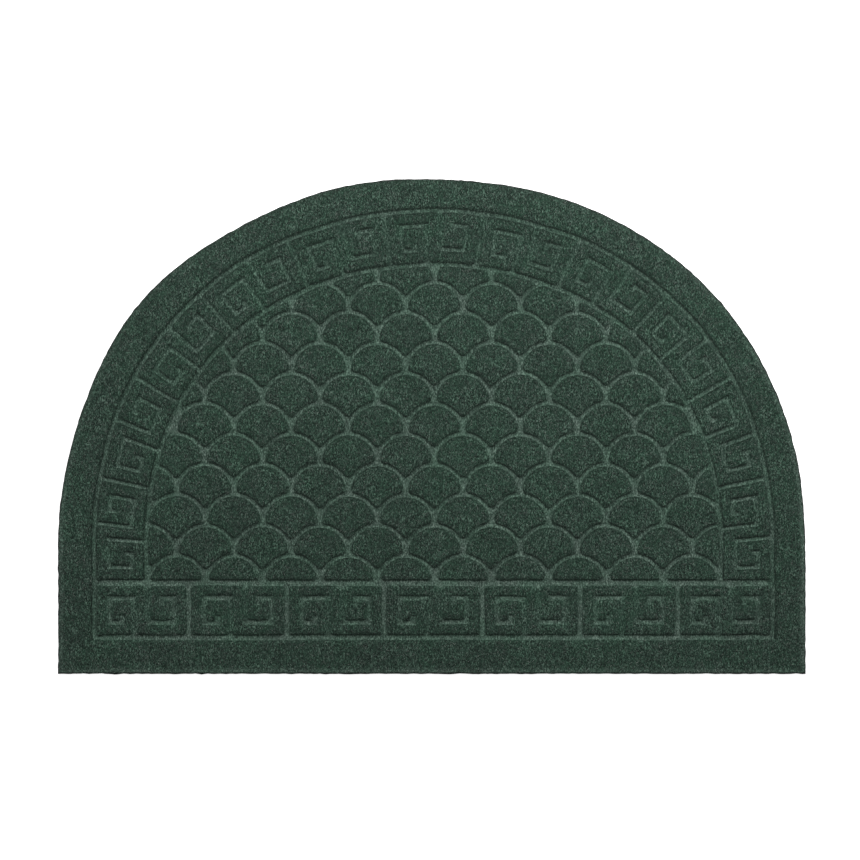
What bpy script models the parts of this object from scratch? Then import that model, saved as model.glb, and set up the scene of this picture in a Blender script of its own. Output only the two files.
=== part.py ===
"""Half-round doormat: an embossed needle-punched pile face on a black rubber backing.

Metres, +Z up. The mat lies on z = 0 with its straight edge towards -Y and its arch towards +Y,
and the origin is under the middle of its outline's box. Plan sizes are measured from the arch's
centre, which lies on the line where the straight sides turn into the arch.
"""

import math

import bmesh
import bpy

# Outline in plan
WIDTH = 0.600
ARCH_HEIGHT = 0.2995
SIDE_LENGTH = 0.0975
ARCH_POWER = 2.14  # an ellipse has 2, and more is squarer
EDGE_STEPS = 96
# How the cut edge of the arch wavers: waves in half a turn of arch, depth, and phase in degrees
CUT_WAVER = (
    (1.5, 0.00035, 145),
    (6.7, 0.00069, 222),
    (8.7, 0.00067, 300),
    (11.3, 0.00041, 342),
)
WAVER_FADE = 0.15  # share of the arch's height over which the waver sets in above the sides

# Thicknesses
BACKING_THICKNESS = 0.0015
BOND_GAP = 0.0003
PILE_THICKNESS = 0.0042
EMBOSS_DEPTH = 0.0021
BACKING_SHOWS = 0.0009  # the backing stands this far outside the pile all round
EDGE_ROLL = 0.0024  # the pile's top edge is pressed round over this width
EDGE_ROLL_STEPS = 3

# Embossed lines: the places of their middles, and their widths
EMBOSS_SHIFT = 0.0012  # the embossing sits this far right of the cut outline's middle
OUTER_HALF_WIDTH, OUTER_HEIGHT = 0.2719, 0.2745
INNER_HALF_WIDTH, INNER_HEIGHT = 0.2302, 0.2316
BASE_LINE = -0.0690  # the lowest line, below the arch's centre
FIELD_LINE = -0.0251  # the line between the lower key band and the scale field
LINE_WIDTH = 0.0037
FIELD_LINE_WIDTH = 0.0045
KEY_STROKE_WIDTH = 0.0032
LINE_STEPS = 72

# Key pattern
LOWER_PITCH = 0.0784  # between the dividers of the lower band
LOWER_CELLS = 7
ARCH_DIVIDERS = (8.45, 25.2, 42.35, 59.75, 77.55)  # degrees each side of the mat's middle
# The middle of a cell's upper hook, in fractions of the cell: across, and down from its outer line.
# The lower hook is the same turned half round.
HOOK = (
    (0.570, 0.00),
    (0.570, 0.72),
    (0.845, 0.72),
    (0.845, 0.27),
    (0.704, 0.27),
    (0.704, 0.40),
)
LONGEST_ARCH_STEP = 0.2  # of a cell's width, for an edge that follows the arch

# Scale pattern
SCALE_PITCH = 0.0459
SCALE_RISE = 0.0244  # from one row to the next
SCALE_LINE_WIDTH = 0.0036
LOWEST_SCALE_TOP = -0.0028
SCALE_ROWS = 12
SCALE_TOP_STEPS = 10
SCALE_SIDE_STEPS = 4
SMALLEST_SCALE = 0.00012  # square metres: the die leaves out any smaller remnant at the field's edge

# Solid heights
PILE_BOTTOM = BACKING_THICKNESS + BOND_GAP
PILE_TOP = PILE_BOTTOM + PILE_THICKNESS
EMBOSS_FLOOR = PILE_TOP - EMBOSS_DEPTH
OVERLAP = 0.001  # raised shapes reach this far into the sheet below them, and cutters past its top
WELD = 0.00001
FLAT_ANGLE = 0.005  # radians: faces that meet at less are one flat face
WALL_RISE = 0.5  # a face whose normal rises less than this is a wall
ROUND_PROFILE = 0.5  # of a bevel
SHARP_ANGLE = 0.6  # radians: edges that turn more than this stay sharp

# Colours are linear RGB
PILE_COLOUR = (0.034, 0.058, 0.045, 1.0)
PILE_ROUGHNESS = 0.95
BACKING_COLOUR = (0.010, 0.011, 0.011, 1.0)
BACKING_ROUGHNESS = 0.70


def clear_scene():
    for old in list(bpy.data.objects):
        bpy.data.objects.remove(old, do_unlink=True)


def make_collection(name):
    made = bpy.data.collections.new(name)
    bpy.context.scene.collection.children.link(made)
    return made


def make_material(name, colour, roughness):
    material = bpy.data.materials.new(name)
    material.use_nodes = True
    shader = material.node_tree.nodes["Principled BSDF"]
    shader.inputs["Base Color"].default_value = colour
    shader.inputs["Roughness"].default_value = roughness
    shader.inputs["Metallic"].default_value = 0.0
    material.diffuse_color = colour
    return material


def arch_radius(half_width, height, angle):
    """From the arch's centre to its curve at this angle, or to the straight side below it."""
    across = abs(math.cos(angle)) / half_width
    up = math.sin(angle) / height
    if up < 0:
        return 1 / across
    return (across**ARCH_POWER + up**ARCH_POWER) ** (-1 / ARCH_POWER)


def cut_waver(angle):
    """How far the cut edge stands outside the true arch at this angle."""
    fade = min(1, math.sin(angle) / WAVER_FADE)
    waver = sum(
        depth * math.sin(waves * angle + math.radians(phase))
        for waves, depth, phase in CUT_WAVER
    )
    return fade * waver


def half_round(half_width, height, foot, steps, waver=0.0, shift=0.0):
    """A half-round outline: its arch from right to left, then the ends of its straight edge."""
    points = []
    for step in range(steps + 1):
        angle = math.pi * step / steps
        radius = arch_radius(half_width, height, angle) + waver * cut_waver(angle)
        points.append((shift + radius * math.cos(angle), radius * math.sin(angle)))
    points.append((shift - half_width, foot))
    points.append((shift + half_width, foot))
    return points


def cut_outline(inset):
    """The mat's cut edge, this far inside the backing's."""
    return half_round(
        WIDTH / 2 - inset, ARCH_HEIGHT - inset, inset - SIDE_LENGTH, EDGE_STEPS, waver=1.0
    )


def slab(name, outlines, bottom, top, centre, collection):
    """A flat solid with these outlines in plan, between two heights."""
    curve = bpy.data.curves.new(name, "CURVE")
    curve.dimensions = "2D"
    curve.fill_mode = "BOTH"
    curve.extrude = (top - bottom) / 2
    for outline in outlines:
        spline = curve.splines.new("POLY")
        spline.points.add(len(outline) - 1)
        spline.use_cyclic_u = True
        for point, (x, y) in zip(spline.points, outline):
            point.co = (x, y, 0, 1)
    drawn = bpy.data.objects.new(name + "_outline", curve)
    drawn.location = (centre[0], centre[1], (bottom + top) / 2)
    collection.objects.link(drawn)
    bpy.context.view_layer.update()

    graph = bpy.context.evaluated_depsgraph_get()
    mesh = bpy.data.meshes.new_from_object(drawn.evaluated_get(graph))
    solid = bpy.data.objects.new(name, mesh)
    solid.matrix_world = drawn.matrix_world.copy()
    collection.objects.link(solid)
    bpy.data.objects.remove(drawn, do_unlink=True)

    shape = bmesh.new()
    shape.from_mesh(mesh)
    bmesh.ops.remove_doubles(shape, verts=shape.verts, dist=WELD)
    bmesh.ops.dissolve_limit(
        shape, angle_limit=FLAT_ANGLE, verts=shape.verts, edges=shape.edges
    )
    bmesh.ops.recalc_face_normals(shape, faces=shape.faces)
    shape.to_mesh(mesh)
    shape.free()
    return solid


def roll_top_edge(sheet):
    """Presses the sheet's top edge round."""
    shape = bmesh.new()
    shape.from_mesh(sheet.data)
    height = max(vertex.co.z for vertex in shape.verts)
    rim = [
        edge
        for edge in shape.edges
        if all(height - vertex.co.z < WELD for vertex in edge.verts)
        and any(abs(face.normal.z) < WALL_RISE for face in edge.link_faces)
    ]
    bmesh.ops.bevel(
        shape,
        geom=rim,
        offset=EDGE_ROLL,
        segments=EDGE_ROLL_STEPS,
        profile=ROUND_PROFILE,
        affect="EDGES",
    )
    shape.to_mesh(sheet.data)
    shape.free()


def mark_helper(solid):
    """Marks a solid that only cuts or joins another."""
    solid.hide_render = True
    solid.display_type = "WIRE"


def join_by(target, operand, operation):
    boolean = target.modifiers.new(operation.lower() + "_" + operand.name, "BOOLEAN")
    boolean.operation = operation
    boolean.solver = "EXACT"
    boolean.object = operand


def sign(value):
    return (value > 0) - (value < 0)


def stroke_sides(middle, half_across, half_down):
    """The two edges of a stroke of right-angled bends, each from its start to its end."""
    steps = [(sign(b[0] - a[0]), sign(b[1] - a[1])) for a, b in zip(middle, middle[1:])]
    one, other = [], []
    for (across, down), before, after in zip(middle, [(0, 0)] + steps, steps + [(0, 0)]):
        out_across = (before[1] + after[1]) * half_across
        out_down = (before[0] + after[0]) * half_down
        one.append((across - out_across, down + out_down))
        other.append((across + out_across, down - out_down))
    return one, other


def cell_half(start, end, line, half_across, half_down):
    """The upper side of a key cell from left to right, down into its hook and back.

    start and end are the widths that its dividers take at the left and the right, and line is
    the width that the line above takes, all in fractions of the cell.
    """
    into, back = stroke_sides(HOOK, half_across, half_down)
    path = into + back[::-1]
    path[0] = (path[0][0], line)
    path[-1] = (path[-1][0], line)
    return [(start, line)] + path + [(1 - end, line)]


def key_cell(width, height, start, end, above, below):
    """The raised outline of a key cell in fractions of the cell, from its real sizes."""
    half_across = KEY_STROKE_WIDTH / 2 / width
    half_down = KEY_STROKE_WIDTH / 2 / height
    upper = cell_half(start / width, end / width, above / height, half_across, half_down)
    lower = cell_half(end / width, start / width, below / height, half_across, half_down)
    return upper + [(1 - across, 1 - down) for across, down in lower]


def with_steps(outline, longest):
    """The closed outline with points added where a side runs further across than longest."""
    points = []
    for (across, down), (next_across, next_down) in zip(outline, outline[1:] + outline[:1]):
        count = max(1, math.ceil(abs(next_across - across) / longest))
        for part in range(count):
            share = part / count
            points.append(
                (across + share * (next_across - across), down + share * (next_down - down))
            )
    return points


def lower_band_cells():
    """The key cells of the straight band along the straight edge, from left to right."""
    height = FIELD_LINE - BASE_LINE
    inner_dividers = [
        (number - LOWER_CELLS / 2) * LOWER_PITCH for number in range(1, LOWER_CELLS)
    ]
    dividers = [-OUTER_HALF_WIDTH] + inner_dividers + [OUTER_HALF_WIDTH]
    widths = [LINE_WIDTH] + [KEY_STROKE_WIDTH] * len(inner_dividers) + [LINE_WIDTH]
    cells = []
    for left, right, start, end in zip(dividers, dividers[1:], widths, widths[1:]):
        outline = key_cell(
            right - left, height, start / 2, end / 2, FIELD_LINE_WIDTH / 2, LINE_WIDTH / 2
        )
        cells.append(
            [
                (EMBOSS_SHIFT + left + across * (right - left), FIELD_LINE - down * height)
                for across, down in outline
            ]
        )
    return cells


def arch_dividers():
    """The dividers of the arch band from left to right, each its angles on the outer and inner lines.

    The first and the last are the ends of the level line below the scale field.
    """
    ends = [math.atan(-FIELD_LINE / half) for half in (OUTER_HALF_WIDTH, INNER_HALF_WIDTH)]
    up = math.pi / 2
    from_middle = [math.radians(angle) for angle in ARCH_DIVIDERS]
    left = [(up + angle, up + angle) for angle in reversed(from_middle)]
    right = [(up - angle, up - angle) for angle in from_middle]
    return [(math.pi + ends[0], math.pi + ends[1])] + left + right + [(-ends[0], -ends[1])]


def arch_band_point(outer_angle, inner_angle, down):
    """A point of the arch band: down is 0 on its outer line and 1 on its inner line."""
    outer = arch_radius(OUTER_HALF_WIDTH, OUTER_HEIGHT, outer_angle)
    inner = arch_radius(INNER_HALF_WIDTH, INNER_HEIGHT, inner_angle)
    x = (1 - down) * outer * math.cos(outer_angle) + down * inner * math.cos(inner_angle)
    y = (1 - down) * outer * math.sin(outer_angle) + down * inner * math.sin(inner_angle)
    return (EMBOSS_SHIFT + x, y)


def arch_band_cells():
    """The key cells between the outer and the inner line, from the left foot over to the right."""
    dividers = arch_dividers()
    widths = [FIELD_LINE_WIDTH] + [KEY_STROKE_WIDTH] * (len(dividers) - 2) + [FIELD_LINE_WIDTH]
    middle_radius = (OUTER_HALF_WIDTH + INNER_HALF_WIDTH) / 2
    height = OUTER_HALF_WIDTH - INNER_HALF_WIDTH
    cells = []
    for here, there, start, end in zip(dividers, dividers[1:], widths, widths[1:]):
        width = middle_radius * (sum(here) - sum(there)) / 2
        outline = key_cell(width, height, start / 2, end / 2, LINE_WIDTH / 2, LINE_WIDTH / 2)
        cells.append(
            [
                arch_band_point(
                    here[0] + across * (there[0] - here[0]),
                    here[1] + across * (there[1] - here[1]),
                    down,
                )
                for across, down in with_steps(outline, LONGEST_ARCH_STEP)
            ]
        )
    return cells


def arc(centre, radius, start, end, steps):
    """Points along an arc, its last one left out."""
    angles = [start + (end - start) * step / steps for step in range(steps)]
    return [
        (centre[0] + radius * math.cos(angle), centre[1] + radius * math.sin(angle))
        for angle in angles
    ]


def scale_outline(x, y):
    """One raised scale about the centre of its round top.

    Its top is its own circle, and its two lower sides are cut by the circles of the row below.
    """
    own = SCALE_PITCH / 2 - SCALE_LINE_WIDTH / 2
    below = SCALE_PITCH / 2 + SCALE_LINE_WIDTH / 2
    apart = math.hypot(SCALE_PITCH / 2, SCALE_RISE)
    along = (own**2 - below**2 + apart**2) / (2 * apart)
    # The angle at which the own circle meets the right-hand circle of the row below
    corner = math.acos(along / own) - math.atan2(SCALE_RISE, SCALE_PITCH / 2)
    corner_x, corner_y = own * math.cos(corner), own * math.sin(corner)
    corner_angle = math.atan2(corner_y + SCALE_RISE, corner_x - SCALE_PITCH / 2)
    tip_angle = math.acos(-SCALE_PITCH / 2 / below)
    top = arc((x, y), own, corner, math.pi - corner, SCALE_TOP_STEPS)
    left = arc(
        (x - SCALE_PITCH / 2, y - SCALE_RISE),
        below,
        math.pi - corner_angle,
        math.pi - tip_angle,
        SCALE_SIDE_STEPS,
    )
    right = arc(
        (x + SCALE_PITCH / 2, y - SCALE_RISE), below, tip_angle, corner_angle, SCALE_SIDE_STEPS
    )
    return top + left + right


def scale_outlines():
    """The scales of all rows, each row half a pitch along from the one below."""
    columns = math.ceil(INNER_HALF_WIDTH / SCALE_PITCH)
    outlines = []
    for row in range(SCALE_ROWS):
        y = LOWEST_SCALE_TOP + row * SCALE_RISE - SCALE_PITCH / 2
        offset = 0.5 if row % 2 == 0 else 0.0
        for column in range(-columns - 1, columns + 1):
            x = EMBOSS_SHIFT + (column + offset) * SCALE_PITCH
            outlines.append(scale_outline(x, y))
    return outlines


def drop_remnants(solid, smallest, height):
    """Removes the separate bodies of a slab whose area in plan is under smallest."""
    shape = bmesh.new()
    shape.from_mesh(solid.data)
    seen = set()
    dropped = []
    for first in shape.verts:
        if first in seen:
            continue
        body, waiting = {first}, [first]
        while waiting:
            for edge in waiting.pop().link_edges:
                for vertex in edge.verts:
                    if vertex not in body:
                        body.add(vertex)
                        waiting.append(vertex)
        seen |= body
        faces = {face for vertex in body for face in vertex.link_faces}
        volume = sum(face.calc_center_median().z * face.calc_area() * face.normal.z for face in faces)
        if volume / height < smallest:
            dropped += body
    bmesh.ops.delete(shape, geom=dropped, context="VERTS")
    shape.to_mesh(solid.data)
    shape.free()


def make_raised_scales(bottom, top, centre, helpers):
    """The scales as far as the scale field reaches."""
    field = slab(
        "scale_field",
        [
            half_round(
                INNER_HALF_WIDTH - LINE_WIDTH / 2,
                INNER_HEIGHT - LINE_WIDTH / 2,
                FIELD_LINE + FIELD_LINE_WIDTH / 2,
                LINE_STEPS,
                shift=EMBOSS_SHIFT,
            )
        ],
        bottom - OVERLAP,
        top + OVERLAP,
        centre,
        helpers,
    )
    mark_helper(field)
    whole = slab("whole_scales", scale_outlines(), bottom, top, centre, helpers)
    mark_helper(whole)
    join_by(whole, field, "INTERSECT")
    bpy.context.view_layer.update()
    graph = bpy.context.evaluated_depsgraph_get()
    mesh = bpy.data.meshes.new_from_object(whole.evaluated_get(graph))
    scales = bpy.data.objects.new("raised_scales", mesh)
    scales.matrix_world = whole.matrix_world.copy()
    helpers.objects.link(scales)
    drop_remnants(scales, SMALLEST_SCALE, top - bottom)
    return scales


def make_pile_face(centre, parts, helpers):
    """The pile sheet: sunk to the emboss floor inside its outer line, with the pattern left standing."""
    sheet = slab(
        "pile_face", [cut_outline(BACKING_SHOWS)], PILE_BOTTOM, PILE_TOP, centre, parts
    )
    roll_top_edge(sheet)
    recess = slab(
        "emboss_recess",
        [
            half_round(
                OUTER_HALF_WIDTH + LINE_WIDTH / 2,
                OUTER_HEIGHT + LINE_WIDTH / 2,
                BASE_LINE - LINE_WIDTH / 2,
                LINE_STEPS,
                shift=EMBOSS_SHIFT,
            )
        ],
        EMBOSS_FLOOR,
        PILE_TOP + OVERLAP,
        centre,
        helpers,
    )
    raised_bottom = EMBOSS_FLOOR - OVERLAP
    keys = slab(
        "raised_keys",
        lower_band_cells() + arch_band_cells(),
        raised_bottom,
        PILE_TOP,
        centre,
        helpers,
    )
    scales = make_raised_scales(raised_bottom, PILE_TOP, centre, helpers)
    for solid in (recess, keys, scales):
        mark_helper(solid)
    join_by(sheet, recess, "DIFFERENCE")
    join_by(sheet, keys, "UNION")
    join_by(sheet, scales, "UNION")
    sheet.data.materials.append(make_material("pile_green", PILE_COLOUR, PILE_ROUGHNESS))
    return sheet


def make_backing(centre, parts):
    """The rubber sheet under the pile, cut a little larger."""
    backing = slab("backing", [cut_outline(0.0)], 0.0, BACKING_THICKNESS, centre, parts)
    backing.data.shade_smooth()
    backing.data.set_sharp_from_angle(angle=SHARP_ANGLE)
    backing.data.materials.append(
        make_material("rubber_black", BACKING_COLOUR, BACKING_ROUGHNESS)
    )
    return backing


def box_middle(points):
    """The middle of the box round these points."""
    return [(min(values) + max(values)) / 2 for values in zip(*points)]


def main():
    clear_scene()
    parts = make_collection("half_round_doormat")
    helpers = make_collection("cutters")
    middle = box_middle(cut_outline(0.0))
    centre = (-middle[0], -middle[1])
    make_backing(centre, parts)
    make_pile_face(centre, parts, helpers)


main()
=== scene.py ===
"""Looks for the half-round doormat: the embossed needle-punched pile, its loose surface fibres, the
rubber backing, and a plain soft-lit studio seen from straight above.

Metres, in the row frame: the straight edge lies towards -Y, the arch towards +Y, and +Z is up.
"""

import math

import bpy
import numpy as np
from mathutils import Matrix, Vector
from mathutils.geometry import delaunay_2d_cdt


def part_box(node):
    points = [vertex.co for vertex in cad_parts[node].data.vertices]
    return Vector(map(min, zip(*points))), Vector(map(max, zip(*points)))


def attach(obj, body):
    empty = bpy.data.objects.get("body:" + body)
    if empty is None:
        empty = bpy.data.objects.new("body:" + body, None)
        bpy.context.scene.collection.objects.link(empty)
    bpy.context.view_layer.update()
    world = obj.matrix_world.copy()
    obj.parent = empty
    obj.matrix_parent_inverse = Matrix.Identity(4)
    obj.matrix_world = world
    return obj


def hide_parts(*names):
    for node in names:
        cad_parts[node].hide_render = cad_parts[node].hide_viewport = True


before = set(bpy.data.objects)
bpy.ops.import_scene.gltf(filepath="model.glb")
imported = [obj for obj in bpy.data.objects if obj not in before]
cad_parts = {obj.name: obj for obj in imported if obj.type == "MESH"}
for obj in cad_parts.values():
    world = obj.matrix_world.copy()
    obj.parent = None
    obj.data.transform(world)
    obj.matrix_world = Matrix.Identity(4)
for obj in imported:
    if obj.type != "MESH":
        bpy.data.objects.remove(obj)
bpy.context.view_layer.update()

# Camera: the photograph's 860 pixels span this much at the pile's middle height
VIEW_SIDE = 0.6899
VIEW_MIDDLE = (-0.00150, -0.0029)
LENS, SENSOR = 100.0, 36.0  # millimetres

# Studio
FLOOR_SIDE = 30.0
FLOOR_DROP = 0.0004  # below the backing
FLOOR_COLOUR = (0.93, 0.93, 0.93)
FLOOR_GLOW = 0.85  # the floor is lit from below too, as on a light table
SKY_STRENGTH = 0.22
# Soft panels that face the mat's middle: name, place, side and power in watts
PANELS = (
    ("left_panel", (-0.80, 0.65, 0.62), 0.45, 7.0),
    ("right_panel", (0.44, 0.58, 0.74), 0.33, 9.2),
)

# Plan of the grids that hold how far each point is from an outline
GRID_STEP = 0.0003
GRID_MARGIN = 0.004
EMBOSS_REACH, EDGE_REACH = 0.0044, 0.0062  # how far they measure from the pattern and the cut
LONGEST_STAMP = 0.002  # longest piece of an outline that is measured from at once
MOST_AT_ONCE = 2_000_000  # points of a grid that are measured together
WELD = 0.00001  # points nearer to each other than this are one
PLAN_WELD = 0.000001  # the same for the points of the pile's plan
INSIDE = 1  # the kind of triangulation that has only triangles inside the given sides
CORNER_TURN = math.radians(24)  # where a ring turns by more, it has a corner
MITRE_LIMIT = 2.2  # how far a corner's point moves at most, in moves of the sides beside it
NO_LENGTH = 1e-12  # keeps a division clear of nought

# Pressed pattern
EMBOSS_DEPTH = 0.0017
EDGE_ZONE = 0.004  # outlines nearer the cut edge than this belong to it
# How far the pressed pattern is from its place in the solids, and how far it wanders from there
BAND_DRIFT, FIELD_DRIFT = (0.0, 0.00065), (0.0008, 0.0001)
ARCH_DRIFT_ANGLES = (0.0, 20.0, 40.0, 60.0, 80.0)  # degrees from the arch's top
OUTER_DRIFT = (-0.0009, -0.0027, -0.0010, 0.0, 0.0001)  # outwards, at those angles
INNER_DRIFT = (-0.0014, -0.0021, -0.0002, 0.0013, 0.0007)
# Shares of the inner line's size over which the field's drift ends and the arch's sets in
FIELD_DRIFT_FADE, ARCH_DRIFT_FADE = (0.96, 1.02), (0.88, 0.99)
WANDER, WANDER_LENGTH = 0.0003, 0.018
# The pressed lines are narrower than the solids' in the scale field and along the arch lines, less
# so in the arch's keys, and wider round the lower keys
NARROWING = 0.00042
KEY_NARROWING, WIDENING = 0.00022, 0.00022
NARROW_NEAR, NARROW_FAR = 0.0050, 0.0080  # from an arch line, where its narrowing fades out
SOUTH_NARROWING = 0.0003  # more of it where the raised pile's wall faces +Y
SCALE_CORNER, KEY_CORNER = 0.0038, 0.0020  # radii of the raised pile's outward corners
WHOLE_SCALES = 0.93  # of the inner line's size: beyond this the scales are cut small by that line
# The pressing's profile: distance into the raised pile from its outline, and height below its top
EMBOSS_LINES = (-0.00040, 0.00000, 0.00040, 0.00095, 0.00190)
EMBOSS_PROFILE = (
    (-0.00080, EMBOSS_DEPTH),
    (-0.00040, 0.00162),
    (0.00000, 0.00122),
    (0.00040, 0.00074),
    (0.00095, 0.00036),
    (0.00190, 0.00010),
    (0.00310, 0.0),
)
# The mesh's points: along its lines, and spread loosely between them
RING_STEP = 0.0021
SPOT_STEP = 0.0020
SPOT_JITTER = 0.0003
SPOT_CLEARANCE = 0.0009
SETTLING_ROUNDS = 4  # by which a line's points reach their distance from the outline
LEAST_SLOPE = 0.25  # squared, which keeps each of those rounds short
WAVER_SLACK = 4  # times its waver that a line's point may be off
# How flattened the pile looks, by the distance into the raised pile from its outline
PRESSED_LOOK = ((-0.00220, 1.0), (-0.00120, 0.92), (-0.00035, 0.81), (0.00025, 0.0))
ARCH_LINE_SHEEN, ARCH_LINE_HALF = 0.52, 0.0034  # the arch lines are less flattened than the rest
WIDE_FLOOR = (-0.0022, -0.0015)  # but not where a floor is this far from any wall
FAINT_TOP = 0.42  # what the key strokes lose of that look at the arch's top
RISING_LINE_SHADE = 0.30  # painted shade: the share of it lost on scale lines rising to the right
# Painted shade along the rim of the raised pile, by that distance
PAINTED_RIM_SHADE = ((0.00005, 0.0), (0.00045, 1.0), (0.00105, 0.95), (0.00175, 0.4), (0.00290, 0.0))
RIM_ALONG, RIM_ACROSS = 0.30, 0.55  # the rim's shade by the way it faces
RIM_LEFT = 0.25  # what it gains where it faces -X
RIM_LOWER, RIM_BAND, RIM_FIELD = 0.66, 1.30, 1.15  # its share in each part of the pattern
RIM_TOP = 0.45  # what that share gains in the key band at the arch's top
BAND_SHADE = 0.085  # how much of the rim's shade all the pile has there
RIM_OUTSIDE, RIM_OUTSIDE_REACH = 1.15, 0.0058  # its shade along the arch lines' outer sides
# The dark line along the cut edge, and the lighter band inside it: flattened felt, with painted
# light
CUT_RIM = ((0.0, 1.0), (0.00030, 0.8), (0.00060, 0.5), (0.00100, 0.0))
CUT_RIM_NORTH, CUT_RIM_WEST = 1.4, 0.9  # how much further it reaches on these sides
CUT_FLAT_AND_LIT = (
    (0.0, 0.2),
    (0.00035, 0.45),
    (0.00105, 0.7),
    (0.00200, 0.6),
    (0.00310, 0.4),
    (0.00450, 0.0),
)
BAND_LIGHT_NORTH, BAND_LIGHT_EAST = 0.85, 0.35  # painted light: what the band loses and gains there
CUT_WAVER = 0.00013  # how rough the pile's cut is
# The cut edge's profile: distance in from the cut, and depth below the top
EDGE_LINES = (0.0, 0.00035, 0.00105, 0.00200, 0.00310, 0.00450)
EDGE_PROFILE = (
    (0.0, 0.00055),
    (0.00035, 0.00025),
    (0.00105, 0.00013),
    (0.00200, 0.00006),
    (0.00310, 0.00002),
    (0.00450, 0.0),
)
LUMP_ROUNDS = ((0.0026, 0.00010), (0.0085, 0.00010), (0.034, 0.00014))  # length and depth
POINT_ROUGHNESS = 0.00009  # of each point's height
FLOOR_SHARE = 0.35  # of the unevenness that the pressed floors keep

# The layout of the pattern, as in the solids
EMBOSS_MIDDLE = (0.0012, -0.1010)
OUTER_LINE = (0.2719, 0.2745)  # half width and height of the arch lines
INNER_LINE = (0.2302, 0.2316)
ARCH_POWER = 2.14  # an ellipse has 2
BASE_LINE, FIELD_LINE = -0.0690, -0.0251
LINE_CLEARANCE = 0.0031
LOWER_PITCH, LOWER_CELLS = 0.0784, 7
ARCH_DIVIDERS = (8.45, 25.2, 42.35, 59.75, 77.55)  # degrees each side of the arch's top
ARCH_LINES = ((OUTER_LINE, BASE_LINE), (INNER_LINE, FIELD_LINE))  # each with its lowest place
# The pressing took wholly in the key strokes that run along X, and less well in the others
LINK_REACH, DIVIDER_REACH = 0.12, 0.08  # of a cell, from its middle and from its ends
LINK_STRENGTH, DIVIDER_STRENGTH, HOOK_STRENGTH = 0.10, 0.22, 0.46
HOOK_TOP = 0.20  # what the hooks' strength falls to at the arch's top
ACROSS_POWER = 1.5  # how fast the strength grows as a wall turns to face along Y

# Loose fibres that lie on the pile
FIBRE_PIECES = 4
FIBRES_EACH = 32500
FIBRE_LENGTH = (0.0016, 0.0042)
FIBRE_WIDTH = (0.00013, 0.00027)
FIBRE_RISE = (0.00006, 0.00034)  # of its middle above the pile
FIBRE_SINK = 0.00012  # of its tips below the pile's surface
FIBRE_BEND = 0.16  # of half a fibre's length
FIBRE_LEAN = 0.6  # how much less they run along X than along Y
FIBRE_CREST = 1.2  # of half a fibre's width, by which its middle line stands above its sides
FIBRES_UP, FIBRE_UP = 0.3, 2.5  # share with a tip up, and that tip's height in rises
FIBRE_WALL_SLACK = 0.0001  # how far a fibre's tip may reach over a wall
FIBRES_DRAWN = 3.2  # for each one kept
# A fibre's corners are its two tips, its left, its right and its top
FIBRE_CORNERS = 5
FIBRE_FACES = ((1, 2, 4), (1, 4, 3), (1, 3, 2), (0, 4, 2), (0, 3, 4), (0, 2, 3))
FLOOR_FIBRES = 0.45  # share kept on the pressed floors
FLOOR_FIBRE_LENGTH = 0.6  # of the other fibres'
RIM_BARE = 0.8  # share of the fibres that the rims lack where their painted shade is darkest
EDGE_FUZZ, EDGE_FUZZ_MOST = 0.0004, 0.0014  # how far past the cut the fibres reach
SEED = 7

# Rubber backing: how far its edge stands out past the solid's, and how rough and round it is
BACKING_OVERHANG = 0.0003
BACKING_WAVER = 0.00015
BACKING_STEP = 0.0025  # between the points round its edge
BACKING_ROUND = 0.0004

# Noises: how their coordinates are stretched, then scale, detail and roughness
EVEN = (1.0, 1.0, 1.0)
FINE_NOISE = ((1.15, 0.50, 1.0), 1200.0, 2.0, 0.6)
STRAND_NOISE = ((1.5, 0.34, 1.0), 620.0, 1.0, 0.5)
WORN_NOISE = (EVEN, 90.0, 1.0, 0.5)
TAKEN_NOISE = (EVEN, 130.0, 1.0, 0.5)
PATCH_NOISE = (EVEN, 62.0, 2.0, 0.55)
SHADE_NOISE = (EVEN, 16.0, 1.0, 0.5)
RUBBER_NOISE = (EVEN, 900.0, 3.0, 0.6)
STRAND_SHARE = 0.22  # of the pile's grain
NOISE_MIDDLE = 0.5
CALMEST = 0.35  # how much of its grain the pile loses where it is smoothest
WORN_RANGE = (0.35, 0.65)  # of its noise, from no loss to that much
TAKEN_RANGE, TAKEN = (0.3, 0.7), (0.72, 1.12)  # how unevenly the floors are flattened
PILE_ROUGHNESS = (0.96, 0.82)  # loose and flattened
RUBBER_ROUGHNESS = (0.55, 0.80)
PILE_BUMP, RUBBER_BUMP = (0.55, 0.0004), (0.5, 0.0003)  # strength and distance

# A mix node's places for its two values and its result
NUMBER_SOCKETS, COLOUR_SOCKETS = (2, 3, 0), (6, 7, 2)

# Colours are linear RGB, those of a ramp each at its place
WHITE = (1.0, 1.0, 1.0, 1.0)
PILE_SHEEN = (0.80, 0.95, 0.88, 1.0)
LOOSE_PILE = (
    (0.39, (0.0018, 0.0082, 0.0048)),
    (0.47, (0.0094, 0.0270, 0.0174)),
    (0.54, (0.0278, 0.0602, 0.0421)),
    (0.62, (0.1040, 0.1690, 0.1310)),
)
FLAT_PILE = (
    (0.39, (0.0140, 0.0320, 0.0225)),
    (0.50, (0.0570, 0.0960, 0.0745)),
    (0.61, (0.1530, 0.2170, 0.1800)),
)
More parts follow.
